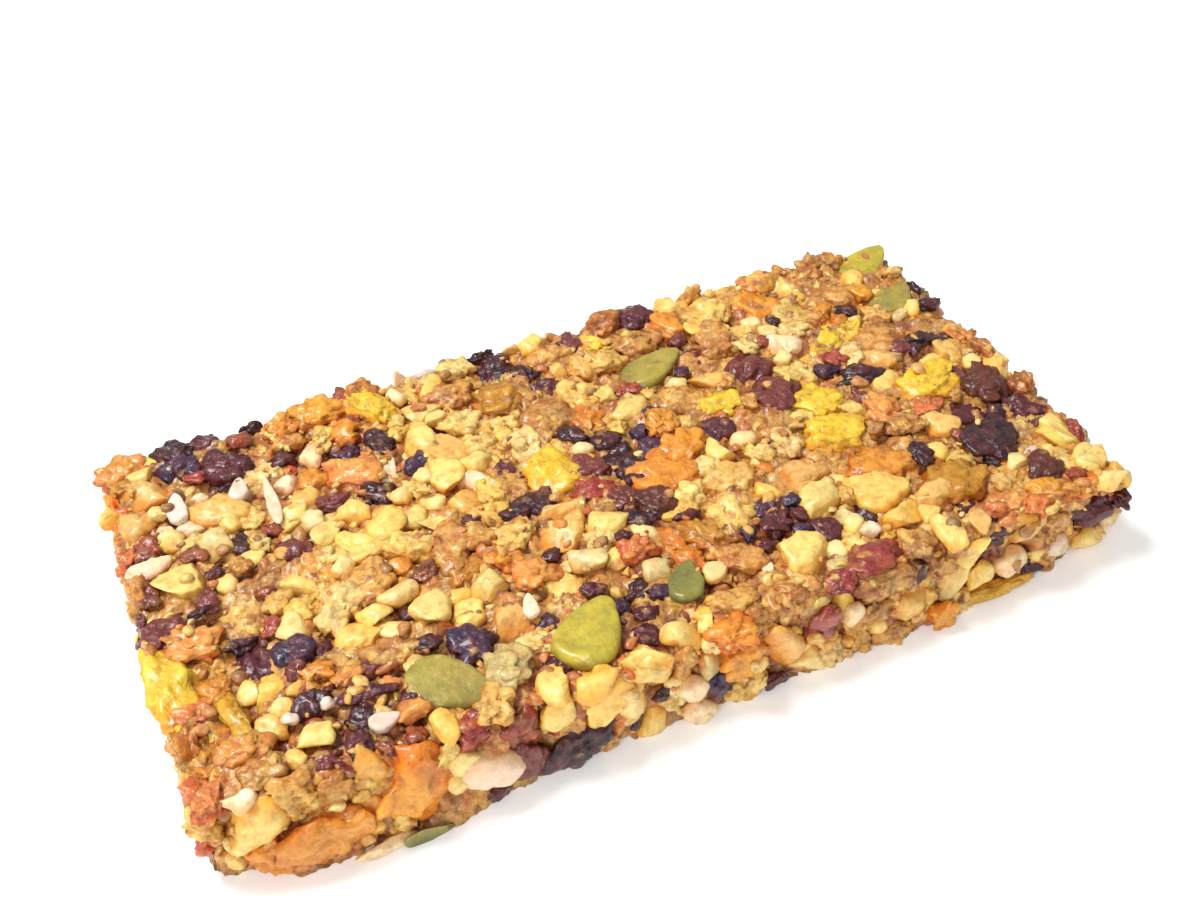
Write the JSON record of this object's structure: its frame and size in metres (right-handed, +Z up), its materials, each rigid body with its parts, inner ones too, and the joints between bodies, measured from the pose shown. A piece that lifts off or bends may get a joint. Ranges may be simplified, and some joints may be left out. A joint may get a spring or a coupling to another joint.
{
  "type": "granola bar",
  "caption": "Flat hand-cut bar of pressed nuts, seeds and chopped dried fruit, with a lumpy top and cut sides and a flat base to rest on",
  "frame": {"origin": "the middle of the bar's footprint, on the surface that the bar lies on", "axes": "+X along the bar's length, +Y across it towards the far long side, +Z up out of its top"},
  "size_m": [0.104, 0.0586, 0.0113],
  "materials": {
    "fruit_and_nut": "sticky golden crumb with cream nuts, dark raisins and orange fruit"
  },
  "bodies": {
    "root": {"granola_bar": "fruit_and_nut"}
  },
  "joints": []
}
